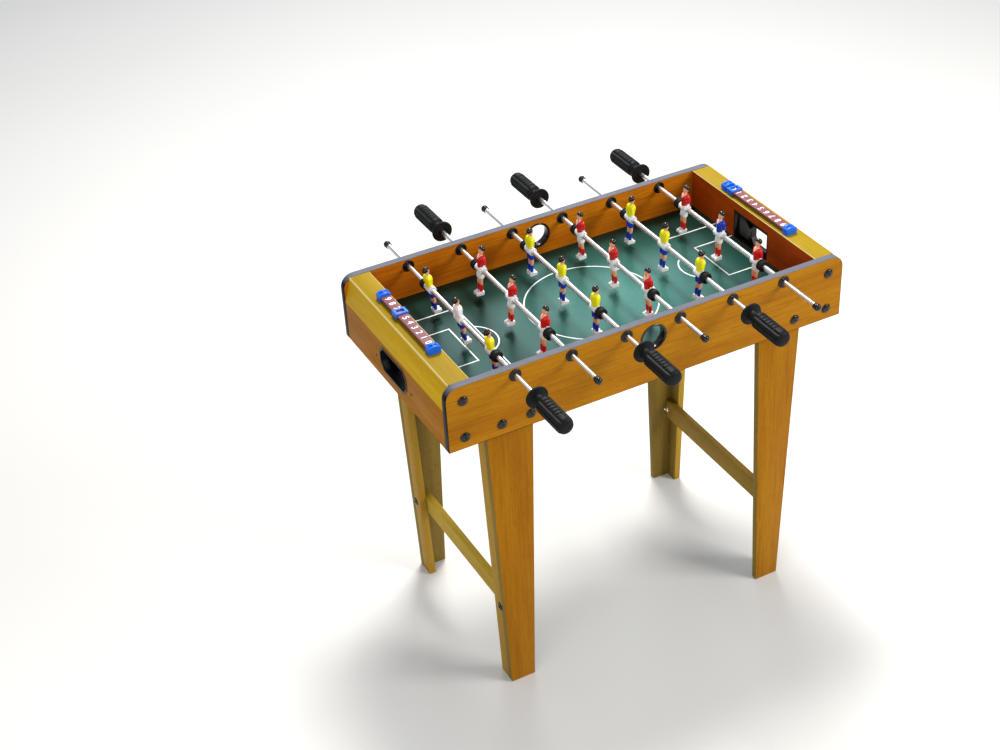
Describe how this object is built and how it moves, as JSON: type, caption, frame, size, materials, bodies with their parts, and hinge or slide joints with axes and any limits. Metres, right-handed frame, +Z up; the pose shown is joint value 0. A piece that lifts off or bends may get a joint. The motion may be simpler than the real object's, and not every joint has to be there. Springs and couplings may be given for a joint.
{
  "type": "toy foosball table",
  "caption": "Child-size table football game on tapered legs: sliding, turning rods of players over a green field, end goals and score sliders.",
  "frame": {"origin": "on the floor at the centre of the table's footprint", "axes": "+X along the table to its right end, +Y to the back side, +Z up; the rods lie along Y"},
  "size_m": [0.69, 0.662, 0.6473],
  "materials": {
    "oak_laminate": "printed oak laminate on board, satin",
    "pale_board": "printed light wood laminate on board, satin",
    "green_field": "printed thin board, satin",
    "black_plastic": "moulded, satin",
    "black_rubber": "matt",
    "chrome": "polished",
    "yellow_player": "moulded and painted",
    "red_player": "moulded and painted",
    "white_keeper": "moulded and painted",
    "blue_keeper": "moulded and painted",
    "maroon_rail": "moulded, satin",
    "blue_plastic": "moulded, glossy"
  },
  "bodies": {
    "table": {"front_panel": "oak_laminate", "back_panel": "oak_laminate", "field_board": "green_field", "left_end_box": "pale_board", "left_goal_cup": "black_plastic", "left_score_rail": "maroon_rail", "left_stretcher": "oak_laminate", "front_left_leg": "oak_laminate", "back_left_leg": "oak_laminate", "right_end_box": "pale_board", "right_goal_cup": "black_plastic", "right_score_rail": "maroon_rail", "right_stretcher": "oak_laminate", "front_right_leg": "oak_laminate", "back_right_leg": "oak_laminate"},
    "left_slider": {"left_score_slider": "blue_plastic"},
    "right_slider": {"right_score_slider": "blue_plastic"},
    "rod_1_bumpers": {"rod_1_bumper_handle_side": "black_rubber", "rod_1_bumper_cap_side": "black_rubber"},
    "rod_1": {"rod_1_shaft": "chrome", "rod_1_handle": "black_plastic", "rod_1_player_handle_side": "yellow_player", "rod_1_player_middle": "white_keeper", "rod_1_player_cap_side": "yellow_player"},
    "rod_2_bumpers": {"rod_2_bumper_handle_side": "black_rubber", "rod_2_bumper_cap_side": "black_rubber"},
    "rod_2": {"rod_2_shaft": "chrome", "rod_2_handle": "black_plastic", "rod_2_player_handle_side": "red_player", "rod_2_player_middle": "red_player", "rod_2_player_cap_side": "red_player"},
    "rod_3_bumpers": {"rod_3_bumper_handle_side": "black_rubber", "rod_3_bumper_cap_side": "black_rubber"},
    "rod_3": {"rod_3_shaft": "chrome", "rod_3_handle": "black_plastic", "rod_3_player_handle_side": "yellow_player", "rod_3_player_middle": "yellow_player", "rod_3_player_cap_side": "yellow_player"},
    "rod_4_bumpers": {"rod_4_bumper_handle_side": "black_rubber", "rod_4_bumper_cap_side": "black_rubber"},
    "rod_4": {"rod_4_shaft": "chrome", "rod_4_handle": "black_plastic", "rod_4_player_handle_side": "red_player", "rod_4_player_middle": "red_player", "rod_4_player_cap_side": "red_player"},
    "rod_5_bumpers": {"rod_5_bumper_handle_side": "black_rubber", "rod_5_bumper_cap_side": "black_rubber"},
    "rod_5": {"rod_5_shaft": "chrome", "rod_5_handle": "black_plastic", "rod_5_player_handle_side": "yellow_player", "rod_5_player_middle": "yellow_player", "rod_5_player_cap_side": "yellow_player"},
    "rod_6_bumpers": {"rod_6_bumper_handle_side": "black_rubber", "rod_6_bumper_cap_side": "black_rubber"},
    "rod_6": {"rod_6_shaft": "chrome", "rod_6_handle": "black_plastic", "rod_6_player_handle_side": "red_player", "rod_6_player_middle": "blue_keeper", "rod_6_player_cap_side": "red_player"}
  },
  "joints": [
    {"name": "left_score_slide", "type": "slide", "parent": "table", "child": "left_slider", "axis": [0, 1, 0], "range_m": [-0.0965, 0.0439]},
    {"name": "right_score_slide", "type": "slide", "parent": "table", "child": "right_slider", "axis": [0, 1, 0], "range_m": [-0.1369, 0.0035]},
    {"name": "rod_1_push", "type": "slide", "parent": "table", "child": "rod_1_bumpers", "axis": [0, 1, 0], "range_m": [-0.0379, 0.0559]},
    {"name": "rod_1_turn", "type": "hinge", "parent": "rod_1_bumpers", "child": "rod_1", "pos_m": [-0.233, 0, 0.6075], "axis": [0, 1, 0], "continuous": true},
    {"name": "rod_2_push", "type": "slide", "parent": "table", "child": "rod_2_bumpers", "axis": [0, 1, 0], "range_m": [-0.0469, 0.0469]},
    {"name": "rod_2_turn", "type": "hinge", "parent": "rod_2_bumpers", "child": "rod_2", "pos_m": [-0.1398, 0, 0.6075], "axis": [0, 1, 0], "continuous": true},
    {"name": "rod_3_push", "type": "slide", "parent": "table", "child": "rod_3_bumpers", "axis": [0, 1, 0], "range_m": [-0.0549, 0.0389]},
    {"name": "rod_3_turn", "type": "hinge", "parent": "rod_3_bumpers", "child": "rod_3", "pos_m": [-0.0466, 0, 0.6075], "axis": [0, 1, 0], "continuous": true},
    {"name": "rod_4_push", "type": "slide", "parent": "table", "child": "rod_4_bumpers", "axis": [0, 1, 0], "range_m": [-0.0559, 0.0379]},
    {"name": "rod_4_turn", "type": "hinge", "parent": "rod_4_bumpers", "child": "rod_4", "pos_m": [0.0466, 0, 0.6075], "axis": [0, 1, 0], "continuous": true},
    {"name": "rod_5_push", "type": "slide", "parent": "table", "child": "rod_5_bumpers", "axis": [0, 1, 0], "range_m": [-0.0549, 0.0389]},
    {"name": "rod_5_turn", "type": "hinge", "parent": "rod_5_bumpers", "child": "rod_5", "pos_m": [0.1398, 0, 0.6075], "axis": [0, 1, 0], "continuous": true},
    {"name": "rod_6_push", "type": "slide", "parent": "table", "child": "rod_6_bumpers", "axis": [0, 1, 0], "range_m": [-0.0369, 0.0569]},
    {"name": "rod_6_turn", "type": "hinge", "parent": "rod_6_bumpers", "child": "rod_6", "pos_m": [0.233, 0, 0.6075], "axis": [0, 1, 0], "continuous": true}
  ]
}
